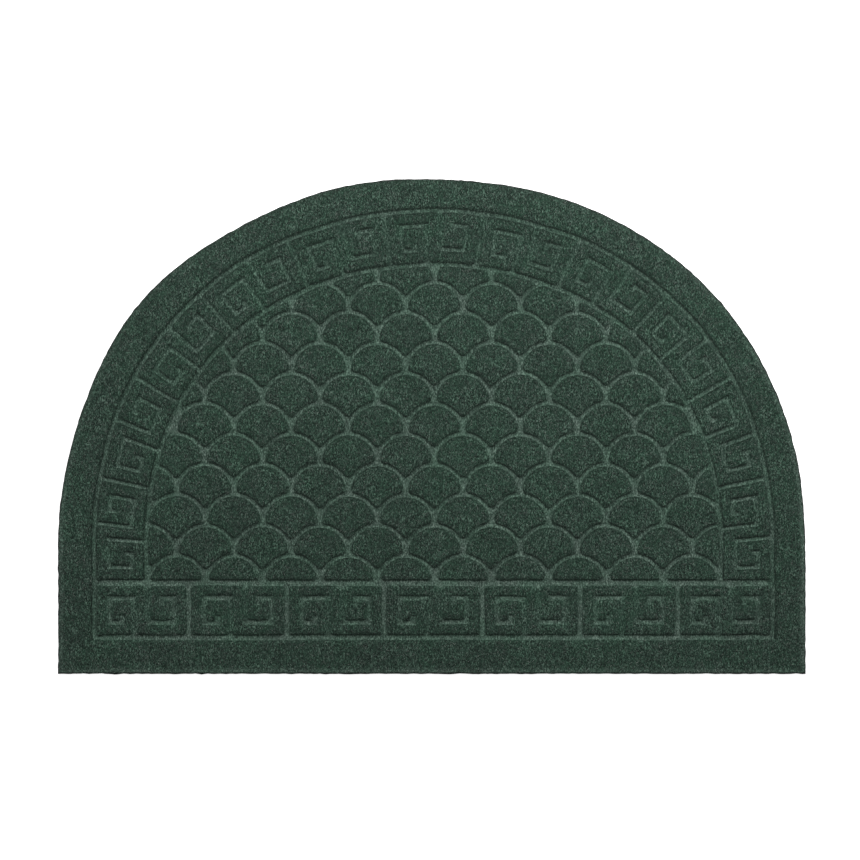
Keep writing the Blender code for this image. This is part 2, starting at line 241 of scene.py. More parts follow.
# Darkening by the rim value: painted shade on the raised pile's walls, and the cut edge's dark line
PAINTED_SHADE_AND_CUT_LINE_TINT = ((0.0, (1.0, 1.0, 1.0)), (1.0, (0.48, 0.50, 0.49)))
PATCH_TINT = ((0.36, (1.03, 0.98, 1.00)), (0.64, (0.93, 1.03, 0.97)))
SHADE_TINT = ((0.3, (0.93, 0.93, 0.93)), (0.7, (1.07, 1.07, 1.07)))
FIBRE_COLOURS = (
    (0.00, (0.0030, 0.0080, 0.0055)),
    (0.45, (0.0160, 0.0330, 0.0240)),
    (0.75, (0.0480, 0.0770, 0.0600)),
    (0.94, (0.1400, 0.1800, 0.1520)),
    (1.00, (0.2900, 0.3300, 0.2950)),
)
RUBBER_COLOURS = ((0.3, (0.0110, 0.0130, 0.0120)), (0.7, (0.0260, 0.0310, 0.0285)))

pile_low, pile_high = (np.array(corner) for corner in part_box("pile_face"))
grid_origin = pile_low[:2] - GRID_MARGIN
grid_shape = np.ceil((pile_high[:2] - pile_low[:2] + 2 * GRID_MARGIN) / GRID_STEP).astype(int)[::-1]


def numbers(items, name, width, kind):
    """A mesh's values of this name, in rows of this width."""
    found = np.empty(len(items) * width, kind)
    items.foreach_get(name, found)
    return found.reshape(-1, width)


def after_each(triangles, upward=True):
    """The point that follows each one round the edge of triangles that face up, or down."""
    sides = triangles[:, [0, 1, 1, 2, 2, 0]].reshape(-1, 2)
    if not upward:
        sides = sides[:, ::-1]
    there = set(map(tuple, sides.tolist()))
    return {a: b for a, b in sorted(there) if (b, a) not in there}


def rings_at(node, height, upward):
    """Rings in plan round a node's level faces at this height, with the faces on their left."""
    mesh = node.data
    mesh.calc_loop_triangles()
    place = numbers(mesh.vertices, "co", 3, np.float32).astype(float)
    triangles = numbers(mesh.loop_triangles, "vertices", 3, np.int32)
    _, first, same = np.unique(
        np.round(place / WELD), axis=0, return_index=True, return_inverse=True
    )
    place, triangles = place[first], same.reshape(-1)[triangles]
    level = (np.abs(place[triangles, 2] - height) < WELD).all(axis=1)
    follow = after_each(triangles[level], upward)
    rings = []
    while follow:
        start = min(follow)
        ring, at = [start], follow.pop(start)
        while at != start:
            ring.append(at)
            at = follow.pop(at)
        rings.append(place[ring, :2])
    return rings


def read_off(table, places):
    """The second column of a table, where its first column is at these places."""
    return np.interp(places, *zip(*table))


def unit(vectors):
    """The vectors at length one."""
    return vectors / np.maximum(np.linalg.norm(vectors, axis=-1, keepdims=True), NO_LENGTH)


def left_of(directions):
    """The directions turned a quarter to the left."""
    return np.stack([-directions[:, 1], directions[:, 0]], 1)


def spaced(ring, step):
    """The ring with its corners kept and its other points about a step apart."""
    before = unit(ring - np.roll(ring, 1, axis=0))
    after = unit(np.roll(ring, -1, axis=0) - ring)
    corners = np.flatnonzero((before * after).sum(1) < math.cos(CORNER_TURN))
    if len(corners) == 0:
        corners = np.array([0])
    points = []
    for start, end in zip(corners, np.append(corners[1:], corners[0] + len(ring))):
        run = ring[np.arange(start, end + 1) % len(ring)]
        along = np.append(0, np.cumsum(np.linalg.norm(np.diff(run, axis=0), axis=1)))
        count = max(1, round(along[-1] / step))
        at = np.linspace(0, along[-1], count, endpoint=False)
        points.append(np.stack([np.interp(at, along, run[:, k]) for k in (0, 1)], 1))
    return np.concatenate(points)


def moved_in(ring, distance):
    """The ring's points moved this far to their left, mitred at its corners."""
    before = unit(ring - np.roll(ring, 1, axis=0))
    after = unit(np.roll(ring, -1, axis=0) - ring)
    middle = unit(before + after)
    stretch = 1 / np.maximum((middle * after).sum(1, keepdims=True), 1 / MITRE_LIMIT)
    return ring + distance * stretch * left_of(middle)


def segments_of(rings):
    """The sides of these rings, cut to no longer than a stamp."""
    parts = []
    for ring in rings:
        start, end = ring, np.roll(ring, -1, axis=0)
        count = np.ceil(np.linalg.norm(end - start, axis=1) / LONGEST_STAMP).astype(int)
        count = np.maximum(count, 1)
        side = np.repeat(np.arange(len(ring)), count)
        part = np.arange(len(side)) - np.repeat(np.cumsum(count) - count, count)
        low, high = (part / count[side])[:, None], ((part + 1) / count[side])[:, None]
        run = (end - start)[side]
        parts.append(np.stack([start[side] + low * run, start[side] + high * run], 1))
    return np.concatenate(parts)


def distance_grid(segments, reach):
    """How far each grid point is from the nearest segment, up to this reach."""
    grid = np.full(grid_shape[0] * grid_shape[1], reach)
    half = math.ceil((reach + LONGEST_STAMP / 2) / GRID_STEP)
    window = np.stack(np.meshgrid(*[np.arange(-half, half + 1)] * 2), -1).reshape(-1, 2)
    chunks = max(1, len(segments) * len(window) // MOST_AT_ONCE)
    for chunk in np.array_split(segments, chunks):
        middle = np.round((chunk.mean(1) - grid_origin) / GRID_STEP).astype(int)
        spot = middle[:, None] + window[None]
        kept = ((spot >= 0) & (spot < grid_shape[::-1])).all(2)
        place = grid_origin + spot * GRID_STEP
        start, run = chunk[:, None, 0], (chunk[:, 1] - chunk[:, 0])[:, None]
        share = ((place - start) * run).sum(2) / np.maximum((run * run).sum(2), NO_LENGTH**2)
        off = place - start - share.clip(0, 1)[..., None] * run
        distance = np.sqrt((off * off).sum(2))
        flat = spot[..., 1] * grid_shape[1] + spot[..., 0]
        np.minimum.at(grid, flat[kept], distance[kept])
    return grid.reshape(grid_shape)


def odd_grid(segments):
    """Which grid points lie inside an odd number of the rings that these segments make."""
    toggles = np.zeros((grid_shape[0], grid_shape[1] + 1), np.int32)
    at = (segments - grid_origin) / GRID_STEP
    low = np.where((at[:, :1, 1] <= at[:, 1:, 1])[..., None], at, at[:, ::-1])
    first = np.floor(low[:, 0, 1]).astype(int) + 1
    last = np.floor(low[:, 1, 1]).astype(int)
    for more in range(int((last - first).max()) + 1):
        row = first + more
        a, b = low[row <= last].transpose(1, 0, 2)
        row = row[row <= last]
        column = a[:, 0] + (row - a[:, 1]) / (b[:, 1] - a[:, 1]) * (b[:, 0] - a[:, 0])
        np.add.at(toggles, (row, np.ceil(column).astype(int)), 1)
    return np.cumsum(toggles, axis=1)[:, :-1] % 2 == 1


def sample(grid, origin, step, places):
    """The grid's value at each place in plan, read between its points."""
    at = (places - origin) / step
    low = np.clip(np.floor(at).astype(int), 0, np.array(grid.shape[::-1]) - 2)
    x, y = low.T
    fx, fy = (at - low).clip(0, 1).T
    return (grid[y, x] * (1 - fx) + grid[y, x + 1] * fx) * (1 - fy) + (
        grid[y + 1, x] * (1 - fx) + grid[y + 1, x + 1] * fx
    ) * fy


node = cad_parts["pile_face"]
cut_ring = max(rings_at(node, pile_low[2], upward=False), key=len)
from_cut = distance_grid(segments_of([cut_ring]), EDGE_REACH)
from_cut *= np.where(odd_grid(segments_of([cut_ring])), 1, -1)


def in_from_cut(places):
    """How far in from the cut edge these places are."""
    return sample(from_cut, grid_origin, GRID_STEP, places)


emboss_rings = [
    ring
    for ring in rings_at(node, pile_high[2], upward=True)
    if in_from_cut(ring).min() > EDGE_ZONE
]
emboss_segments = segments_of(emboss_rings)
into_raised = distance_grid(emboss_segments, EMBOSS_REACH)
into_raised *= np.where(odd_grid(emboss_segments), -1, 1)


def with_round_corners(field, radius):
    """The signed distance field once the raised pile's outward corners have this radius."""
    core = field >= radius
    rows, columns = field.shape
    # The nearest core point in a grid point's own row, or a place off the grid where that row
    # has none, and then the nearest in any row
    column = np.arange(columns)[None]
    before = np.maximum.accumulate(np.where(core, column, -columns), axis=1)
    after = np.minimum.accumulate(np.where(core, column, 2 * columns)[:, ::-1], axis=1)[:, ::-1]
    beside = np.where(column - before <= after - column, before, after)
    nearest = np.full(field.shape, np.inf)
    near_row, near_column = np.zeros(field.shape, int), np.zeros(field.shape, int)
    reach = math.ceil((radius + EMBOSS_REACH) / GRID_STEP)
    for up in range(-reach, reach + 1):
        here = slice(max(0, -up), rows - max(0, up))
        there = slice(max(0, up), rows + min(0, up))
        square = (beside[there] - column) ** 2.0 + up * up
        better = square < nearest[here]
        nearest[here][better] = square[better]
        near_row[here][better] = np.broadcast_to(np.arange(rows)[there, None], square.shape)[better]
        near_column[here][better] = beside[there][better]
    # From that core point down the slope to the core's true edge, between the grid points
    rise_y, rise_x = np.gradient(field)
    length = np.maximum(np.hypot(rise_x, rise_y), NO_LENGTH)
    extra = (field - radius) / GRID_STEP
    found = np.isfinite(nearest) & (near_column >= 0) & (near_column < columns) & ~core
    row, col = near_row[found], near_column[found]
    back = extra[row, col] / length[row, col]
    own_row, own_column = np.nonzero(found)
    off_row = row - back * rise_y[row, col] - own_row
    off_column = col - back * rise_x[row, col] - own_column
    opened = np.where(core, field, -EMBOSS_REACH)
    opened[found] = np.maximum(
        radius - GRID_STEP * np.hypot(off_row, off_column), -EMBOSS_REACH
    )
    return np.minimum(field, opened)


def arch_size(off, line):
    """The size of the arch through these places, as a share of this line's own."""
    half, height = line
    across, up = np.abs(off[..., 0]) / half, np.maximum(off[..., 1], 0) / height
    return (across**ARCH_POWER + up**ARCH_POWER) ** (1 / ARCH_POWER)


def beyond(off, line):
    """How far outside an arch line these places are, or inside it where negative."""
    return (arch_size(off, line) - 1) * line[0]


def up_the_arch(off):
    """How high in the arch these places are: 0 at its foot and 1 at its top."""
    return (off[:, 1] / OUTER_LINE[1]).clip(0, 1)


def in_band(off):
    """Which of these places are between the arch lines."""
    return (arch_size(off, INNER_LINE) > 1) & (arch_size(off, OUTER_LINE) < 1)


def narrowing(off):
    """How much narrower the pressed lines are here than in the solids, or wider."""
    in_arch = off[..., 1] > FIELD_LINE + LINE_CLEARANCE
    from_outer = np.abs(beyond(off, OUTER_LINE))
    from_inner = np.where(in_arch, beyond(off, INNER_LINE), NARROW_FAR)
    share = np.interp(np.minimum(from_outer, from_inner), (NARROW_NEAR, NARROW_FAR), (1.0, 0.0))
    far = np.where(in_arch, KEY_NARROWING, -WIDENING)
    return far + share * (NARROWING - far)


def as_pressed(field):
    """The solids' signed distance field with the pressing's own line widths and round corners."""
    grid_points = np.stack(np.meshgrid(*(np.arange(count) for count in grid_shape[::-1])), -1)
    off = grid_origin + grid_points * GRID_STEP - EMBOSS_MIDDLE
    field = field + narrowing(off)
    field = np.where(
        (arch_size(off, INNER_LINE) < WHOLE_SCALES) & (off[..., 1] > FIELD_LINE),
        with_round_corners(field, SCALE_CORNER),
        with_round_corners(field, KEY_CORNER),
    )
    rise_y, rise_x = np.gradient(field)
    facing_north = (-rise_y / np.maximum(np.hypot(rise_x, rise_y), NO_LENGTH)).clip(0, 1)
    return field + SOUTH_NARROWING * facing_north


into_raised = as_pressed(into_raised)

random = np.random.default_rng(SEED)


def random_grid(length, amount):
    """Random values of this size over the whole plan, on a grid with steps of this length."""
    return random.normal(0, amount, np.ceil(grid_shape * GRID_STEP / length).astype(int) + 2)


wander_grids = [random_grid(WANDER_LENGTH, WANDER) for axis in "xy"]


def drift(places):
    """How far the pressed pattern is here from its place in the solids."""
    off = places - EMBOSS_MIDDLE
    size = arch_size(off, INNER_LINE)
    field = np.interp(size, FIELD_DRIFT_FADE, (1.0, 0.0))
    field = field * (off[:, 1] > FIELD_LINE + LINE_CLEARANCE)
    moved = BAND_DRIFT + field[:, None] * (np.array(FIELD_DRIFT) - BAND_DRIFT)
    turned = np.degrees(np.arctan2(np.abs(off[:, 0]), off[:, 1]))
    at_inner, at_outer = (
        np.interp(turned, ARCH_DRIFT_ANGLES, drifts) for drifts in (INNER_DRIFT, OUTER_DRIFT)
    )
    share = ((size - 1) / (OUTER_LINE[0] / INNER_LINE[0] - 1)).clip(0, 1)
    radial = (at_inner + share * (at_outer - at_inner)) * np.interp(size, ARCH_DRIFT_FADE, (0, 1))
    radial *= off[:, 1] > 0
    wandered = [sample(grid, grid_origin, WANDER_LENGTH, places) for grid in wander_grids]
    return moved + radial[:, None] * unit(off) + np.stack(wandered, 1)


def in_raised(places):
    """How far into the raised pile these places are, or out of it where negative."""
    return sample(into_raised, grid_origin, GRID_STEP, places - drift(places))


def slope_of(read, places):
    """How a grid's value rises in plan at these places."""
    steps = np.eye(2) * GRID_STEP
    return np.stack(
        [(read(places + step) - read(places - step)) / (2 * GRID_STEP) for step in steps], 1
    )


def facing_at(places):
    """The way that the raised pile's nearest wall faces in plan, at these places."""
    return -unit(slope_of(in_raised, places))


def strength_at(places, facing):
    """How deep the pressing took at these places, given the way that their walls face."""
    off = places - EMBOSS_MIDDLE
    inside = beyond(off, OUTER_LINE) < -LINE_CLEARANCE
    arch = beyond(off, INNER_LINE) > LINE_CLEARANCE
    arch &= off[:, 1] > FIELD_LINE + LINE_CLEARANCE
    lower = (off[:, 1] < FIELD_LINE - LINE_CLEARANCE) & (off[:, 1] > BASE_LINE + LINE_CLEARANCE)
    foot = math.degrees(math.atan(-FIELD_LINE / OUTER_LINE[0]))
    right = np.array([*ARCH_DIVIDERS, 90 + foot])
    dividers = np.concatenate([-right[::-1], right])
    angle = np.degrees(np.arctan2(off[:, 0], off[:, 1]))
    cell = np.where(
        arch,
        np.interp(angle, dividers, np.arange(len(dividers))),
        off[:, 0] / LOWER_PITCH + LOWER_CELLS / 2,
    )
    part = cell % 1
    hook = HOOK_STRENGTH + (HOOK_TOP - HOOK_STRENGTH) * up_the_arch(off) ** 2
    weak = np.where(np.abs(part - 0.5) < LINK_REACH, np.minimum(LINK_STRENGTH, hook), hook)
    divider = (part < DIVIDER_REACH) | (part > 1 - DIVIDER_REACH)
    weak = np.where(divider, np.where(arch, DIVIDER_STRENGTH, 1.0), weak)
    across = np.abs(facing[:, 1]) ** ACROSS_POWER
    return np.where((arch | lower) & inside, weak + (1 - weak) * across, 1.0)


def pressed_look(places, facing):
    """How flattened the pile looks here: less on the arch lines, on the keys near the arch's top,
    and, as painted shade, on the scales' lines that rise to the right."""
    off = places - EMBOSS_MIDDLE
    into = in_raised(places)
    on_line, above = np.zeros(len(places), bool), off[:, 1] > FIELD_LINE
    for line, lowest in ARCH_LINES:
        beside = np.abs(beyond(off, line)) < ARCH_LINE_HALF
        on_line |= beside & (off[:, 1] > lowest + ARCH_LINE_HALF)
    band = above & in_band(off)
    look = read_off(PRESSED_LOOK, into)
    look *= np.where(on_line, np.interp(into, WIDE_FLOOR, (1.0, ARCH_LINE_SHEEN)), 1.0)
    look *= np.where(band & ~on_line, 1 - FAINT_TOP * up_the_arch(off) ** 2, 1.0)
    in_field = above & (arch_size(off, INNER_LINE) < 1) & ~on_line
    # painted shade on the scales' lines that run from lower left to upper right
    rising = (-2 * facing[:, 0] * facing[:, 1]).clip(0, 1)
    return look * np.where(in_field, 1 - RISING_LINE_SHADE * rising, 1.0)


def painted_rim_strength(places, facing):
    """The painted shade on the raised pile's rim here: most where it faces along Y or into the
    arch.
    """
    off = places - EMBOSS_MIDDLE
    outside = np.zeros(len(places), bool)
    for line, lowest in ARCH_LINES:
        past = beyond(off, line)
        outside |= (past > 0) & (past < RIM_OUTSIDE_REACH) & (off[:, 1] > lowest)
    inward = -(facing * unit(off)).sum(1).clip(-1, 0)
    turned = RIM_ALONG + RIM_ACROSS * facing[:, 1] ** 2
    turned += RIM_LEFT * (-facing[:, 0]).clip(0, 1)
    share = np.where(in_band(off), RIM_BAND + RIM_TOP * up_the_arch(off), RIM_FIELD)
    turned *= np.where(off[:, 1] < FIELD_LINE + LINE_CLEARANCE, RIM_LOWER, share)
    return np.maximum(turned, np.where(outside, RIM_OUTSIDE * inward, 0))


def band_shade(places):
    """How dark the raised pile between the arch lines is here: more towards the arch's top."""
    off = places - EMBOSS_MIDDLE
    return BAND_SHADE * in_band(off) * up_the_arch(off) ** 2


lump_grids = [(length, random_grid(length, depth)) for length, depth in LUMP_ROUNDS]


def pile_height(places):
    """Height of the pile's surface at these places in plan."""
    facing = facing_at(places)
    drop = read_off(EMBOSS_PROFILE, in_raised(places)) * strength_at(places, facing)
    drop += read_off(EDGE_PROFILE, in_from_cut(places))
    lumps = sum(sample(grid, grid_origin, length, places) for length, grid in lump_grids)
    floor = np.clip(drop / EMBOSS_DEPTH, 0, 1)
    return pile_high[2] - drop + lumps * (1 + (FLOOR_SHARE - 1) * floor)


def rough_edge(count, amount):
    """Random steps in and out along a ring of this many points, each partly like the last."""
    steps = random.normal(0, amount, count)
    return ((steps + np.roll(steps, 1)) / math.sqrt(2))[:, None]


def surface_lines():
    """The lines that the pile's surface keeps: their points, and the sides that join them."""
    points, sides, known = [], [], 0
    for rings, depths, grid in (
        ([cut_ring], EDGE_LINES, in_from_cut),
        ([ring + drift(ring) for ring in emboss_rings], EMBOSS_LINES, in_raised),
    ):
        for ring in rings:
            even = spaced(ring, RING_STEP)
            for depth in depths:
                waver = CUT_WAVER if grid is in_from_cut and depth == 0.0 else 0.0
                moved = moved_in(even, depth + rough_edge(len(even), waver))
                for _ in range(SETTLING_ROUNDS if grid is in_raised else 0):
                    slope = slope_of(grid, moved)
                    length = np.maximum((slope * slope).sum(1, keepdims=True), LEAST_SLOPE)
                    moved = moved + (depth - grid(moved))[:, None] * slope / length
                slack = GRID_STEP / 2 + WAVER_SLACK * waver
                settled = np.abs(grid(moved) - depth) < slack
                number = known + np.cumsum(settled) - 1
                joined = settled & np.roll(settled, -1)
                sides.append(np.stack([number, np.roll(number, -1)], 1)[joined])
                points.append(moved[settled])
                known += int(settled.sum())
    return np.concatenate(points), np.concatenate(sides)


def loose_spots():
    """Points spread over the pile, clear of its lines."""
    low, high = pile_low[:2], pile_high[:2]
    rows = np.arange(low[1], high[1], SPOT_STEP * math.sqrt(3) / 2)
    columns = np.arange(low[0], high[0], SPOT_STEP)
    spots = np.stack(np.meshgrid(columns, rows), -1)
    spots[1::2, :, 0] += SPOT_STEP / 2
    spots = spots.reshape(-1, 2)
    spots = spots + random.uniform(-SPOT_JITTER, SPOT_JITTER, spots.shape)
    into, inside = in_raised(spots), in_from_cut(spots)
    clear = (into < EMBOSS_LINES[0] - SPOT_CLEARANCE) | (into > EMBOSS_LINES[-1] + SPOT_CLEARANCE)
    return spots[clear & (inside > EDGE_LINES[-1] + SPOT_CLEARANCE)]


def filled_plan(points, sides):
    """Triangles over the plan that keep these sides: their points and corners."""
    scale = 1 / pile_high[0]
    points, closest = (points * scale).tolist(), PLAN_WELD * scale
    found = delaunay_2d_cdt(points, sides.tolist(), [], INSIDE, closest, False)
    return np.array([tuple(point) for point in found[0]]) / scale, np.array(found[2])


def rim_of(triangles):
    """The points round the edge of these triangles, in order."""
    follow = after_each(triangles)
    start = min(follow)
    ring = [start]
    while follow[ring[-1]] != start:
        ring.append(follow[ring[-1]])
    if len(ring) != len(follow):
        raise ValueError("the pile's plan has more than one edge")
    return np.array(ring)


def mesh_object(name, places, faces, material, smooth=True):
    """A piece with these points and faces: an array with a row for each, or a list of arrays."""
    lists = faces if isinstance(faces, list) else [faces]
    corners = np.concatenate([rows.ravel() for rows in lists])
    counts = np.concatenate([np.full(len(rows), rows.shape[1]) for rows in lists])
    mesh = bpy.data.meshes.new(name)
    mesh.vertices.add(len(places))
    mesh.vertices.foreach_set("co", places.astype(np.float32).ravel())
    mesh.loops.add(len(corners))
    mesh.loops.foreach_set("vertex_index", corners.astype(np.int32))
    mesh.polygons.add(len(counts))
    mesh.polygons.foreach_set("loop_start", (np.cumsum(counts) - counts).astype(np.int32))
    mesh.update(calc_edges=True)
    mesh.polygons.foreach_set("use_smooth", np.full(len(counts), smooth))
    mesh.materials.append(material)
    made = bpy.data.objects.new(name, mesh)
    bpy.context.scene.collection.objects.link(made)
    return made


def pile_shades(plan):
    """For its material: the pile's flattening, painted rim shade and lighter cut band at these
    points.
    """
    facing = facing_at(plan)
    strength = strength_at(plan, facing)
    # painted shade along the raised pile's walls, by how far in they are and which way they face
    rim = read_off(PAINTED_RIM_SHADE, in_raised(plan)) * strength * painted_rim_strength(plan, facing)
    rim += band_shade(plan)
    east, north = -unit(slope_of(in_from_cut, plan)).T
    west, east, north = (-east).clip(0, 1), east.clip(0, 1), north.clip(0, 1)
    from_edge = in_from_cut(plan)
    reach = 1 + CUT_RIM_NORTH * north + CUT_RIM_WEST * west
    rim = np.maximum(rim, read_off(CUT_RIM, from_edge / reach))
    flat_and_lit = read_off(CUT_FLAT_AND_LIT, from_edge)
    # painted light: the band is fainter on the north side and brighter on the east
    flat_and_lit *= 1 - BAND_LIGHT_NORTH * north + BAND_LIGHT_EAST * east
    return {"pressed": pressed_look(plan, facing) * strength, "rim": rim, "edge": flat_and_lit}


def make_pile(material):
    """The embossed pile as one closed sheet on the plan of its CAD node."""
    line_points, sides = surface_lines()
    plan, triangles = filled_plan(np.concatenate([line_points, loose_spots()]), sides)
    rim = rim_of(triangles)
    rough = random.normal(0, POINT_ROUGHNESS, len(plan))
    rough *= np.where(in_raised(plan) < 0, FLOOR_SHARE, 1)
    top = np.column_stack([plan, pile_height(plan) + rough])
    around = len(plan) + np.arange(len(rim))
    foot = np.column_stack([plan[rim], np.full(len(rim), pile_low[2])])
    skirt = np.column_stack([np.roll(rim, -1), rim, around, np.roll(around, -1)])
    bottom = around[None, ::-1]
    made = mesh_object("pile", np.concatenate([top, foot]), [triangles, skirt, bottom], material)
    made.data.polygons[-1].use_smooth = False
    for label, values in pile_shades(plan).items():
        whole = np.concatenate([values, values[rim]]).astype(np.float32)
        made.data.attributes.new(label, "FLOAT", "POINT").data.foreach_set("value", whole)
    return made


def make_backing(material):
    """The rubber sheet under the pile, with a rough, slightly rounded edge."""
    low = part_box("backing")[0]
    ring = max(rings_at(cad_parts["backing"], low[2], upward=False), key=len)
    ring = spaced(ring, BACKING_STEP)
    out = -BACKING_OVERHANG + rough_edge(len(ring), BACKING_WAVER)
    profile = (
        (BACKING_ROUND / 2, low[2]),
        (0.0, low[2] + BACKING_ROUND / 2),
        (0.0, pile_low[2] - BACKING_ROUND),
        (BACKING_ROUND / 2, pile_low[2] - BACKING_ROUND / 4),
        (BACKING_ROUND, pile_low[2]),
    )
    count = len(ring)
    places = np.concatenate(
        [
            np.column_stack([moved_in(ring, out + inset), np.full(count, height)])
            for inset, height in profile
        ]
    )
    around = np.arange(count)
    band = np.column_stack([around, np.roll(around, -1)])
    band = np.hstack([band, band[:, ::-1] + count])
    sides = [band + level * count for level in range(len(profile) - 1)]
    top, bottom = around[None] + (len(profile) - 1) * count, around[None, ::-1]
    made = mesh_object("backing_sheet", places, [*sides, top, bottom], material)
    for face in made.data.polygons[-2:]:
        face.use_smooth = False
    return made


def fibre_tips(middle, along, half, bend):
    """The two tips of each fibre in plan."""
    sideways = bend[:, None] * left_of(along)
    return [middle + sense * half[:, None] * along + sideways for sense in (-1, 1)]


def fibre_plan(count):
    """Middles, directions, half lengths and sideways bends of fibres that stay off the walls."""
    low, high = pile_low[:2], pile_high[:2]
    middle = random.uniform(low, high, (count, 2))
    turn = random.uniform(0, 2 * math.pi, count)
    along = unit(np.stack([FIBRE_LEAN * np.cos(turn), np.sin(turn)], 1))
    half = random.uniform(*FIBRE_LENGTH, count) / 2
    bend = random.normal(0, FIBRE_BEND, count) * half
    into = in_raised(middle)
    floor = into < 0
    half = np.where(floor, half * FLOOR_FIBRE_LENGTH, half)
    kept = in_from_cut(middle) > 0
    rim = read_off(PAINTED_RIM_SHADE, into) * painted_rim_strength(middle, facing_at(middle))
    kept &= random.uniform(0, 1, count) < np.where(floor, FLOOR_FIBRES, 1 - RIM_BARE * rim)
    for tip in fibre_tips(middle, along, half, bend):
        tip_into = in_raised(tip)
        kept &= np.where(floor, tip_into < 0.0, tip_into > -FIBRE_WALL_SLACK)
        kept &= in_from_cut(tip) > -random.exponential(EDGE_FUZZ, count).clip(0, EDGE_FUZZ_MOST)
    return middle[kept], along[kept], half[kept], bend[kept]


def fibre_mesh(middle, along, half, bend):
    """Closed spindles of five points and six triangles, lying bent on the pile."""
    count = len(middle)
    width = random.uniform(*FIBRE_WIDTH, count) / 2
    rise = random.uniform(*FIBRE_RISE, count)
    places = np.empty((count, FIBRE_CORNERS, 3))
    for number, tip in enumerate(fibre_tips(middle, along, half, bend)):
        places[:, number, :2] = tip
        places[:, number, 2] = pile_height(tip) - FIBRE_SINK
    up = random.uniform(0, 1, count) < FIBRES_UP
    places[up, 1, 2] += FIBRE_UP * rise[up] + FIBRE_SINK
    sideways = width[:, None] * left_of(along)
    places[:, 2, :2] = middle + sideways
    places[:, 3, :2] = middle - sideways
    places[:, 4, :2] = middle
    ground = pile_height(middle) + rise
    places[:, 2:4, 2] = ground[:, None]
    places[:, 4, 2] = ground + FIBRE_CREST * width
    faces = np.arange(count)[:, None, None] * FIBRE_CORNERS + np.array(FIBRE_FACES)
    return places.reshape(-1, 3), faces.reshape(-1, 3)


def make_fibres(material):
    """The loose fibres, in pieces from left to right."""
    count = FIBRE_PIECES * FIBRES_EACH
    whole = [part[:count] for part in fibre_plan(int(count * FIBRES_DRAWN))]
    if len(whole[0]) < count:
        raise ValueError("too few fibres were drawn: %d" % len(whole[0]))
    order = np.argsort(whole[0][:, 0])
    made = []
    for number, rows in enumerate(np.split(order, FIBRE_PIECES), 1):
        places, faces = fibre_mesh(*(part[rows] for part in whole))
        made.append(mesh_object("fibres_%d" % number, places, faces, material))
    return made


def put(tree, kind, inputs=(), **settings):
    """Adds a node. An input that is given a socket is linked to it, and else set."""
    made = tree.nodes.new(kind)
    for name, value in settings.items():
        setattr(made, name, value)
    for name, value in dict(inputs).items():
        if isinstance(value, bpy.types.NodeSocket):
            tree.links.new(value, made.inputs[name])
        else:
            made.inputs[name].default_value = value
    return made


def ramp(tree, factor, stops):
    """A colour ramp with these stops, each a place and a colour."""
    made = put(tree, "ShaderNodeValToRGB", {"Fac": factor})
    elements = made.color_ramp.elements
    while len(elements) < len(stops):
        elements.new(0.5)
    for element, (place, colour) in zip(elements, stops):
        element.position = place
        element.color = (*colour, 1.0)
    return made.outputs["Color"]


def mixed(tree, factor, one, other, sockets, **settings):
    """What a mix node with these settings makes of two values."""
    first, second, result = sockets
    inputs = {0: factor, first: one, second: other}
    return put(tree, "ShaderNodeMix", inputs, **settings).outputs[result]


def mix(tree, factor, one, other):
    """A number between two others."""
    return mixed(tree, factor, one, other, NUMBER_SOCKETS, data_type="FLOAT")


def blend(tree, factor, one, other, kind="MIX"):
    """A colour between two others, or their product."""
    return mixed(tree, factor, one, other, COLOUR_SOCKETS, data_type="RGBA", blend_type=kind)


def noise(tree, kind):
    """A noise of this kind, in the piece's own coordinates."""
    stretch, scale, detail, roughness = kind
    coordinates = put(tree, "ShaderNodeTexCoord").outputs["Object"]
    stretched = put(tree, "ShaderNodeMapping", {"Vector": coordinates, "Scale": stretch})
    made = put(
        tree,
        "ShaderNodeTexNoise",
        {
            "Vector": stretched.outputs["Vector"],
            "Scale": scale,
            "Detail": detail,
            "Roughness": roughness,
        },
    )
    return made.outputs["Fac"]


def ranged(tree, value, there, here=(0.0, 1.0)):
    """The number moved from one range to another, and kept within it."""
    ranges = {"From Min": here[0], "From Max": here[1], "To Min": there[0], "To Max": there[1]}
    return put(tree, "ShaderNodeMapRange", {"Value": value, **ranges}).outputs[0]


def bumped(tree, height, bump):
    """The surface's normal with this height's bump."""
    values = {"Height": height, "Strength": bump[0], "Distance": bump[1]}
    return put(tree, "ShaderNodeBump", values).outputs["Normal"]


def attribute(tree, name):
    """A value that the piece's points hold."""
    return put(tree, "ShaderNodeAttribute", attribute_name=name).outputs["Fac"]


def new_material(name, **shader_values):
    """A material, its node tree and its shader, with these values set on the shader."""
    material = bpy.data.materials.new(name)
    material.use_nodes = True
    tree = material.node_tree
    shader = tree.nodes["Principled BSDF"]
    for label, value in shader_values.items():
        shader.inputs[label.replace("_", " ")].default_value = value
    return material, tree, shader


def mottled(tree, colour):
    """The colour with the pile's soft patches, greener here and greyer there."""
    tint = ramp(tree, noise(tree, PATCH_NOISE), PATCH_TINT)
    colour = blend(tree, 1.0, colour, tint, "MULTIPLY")
    shade = ramp(tree, noise(tree, SHADE_NOISE), SHADE_TINT)
    return blend(tree, 1.0, colour, shade, "MULTIPLY")


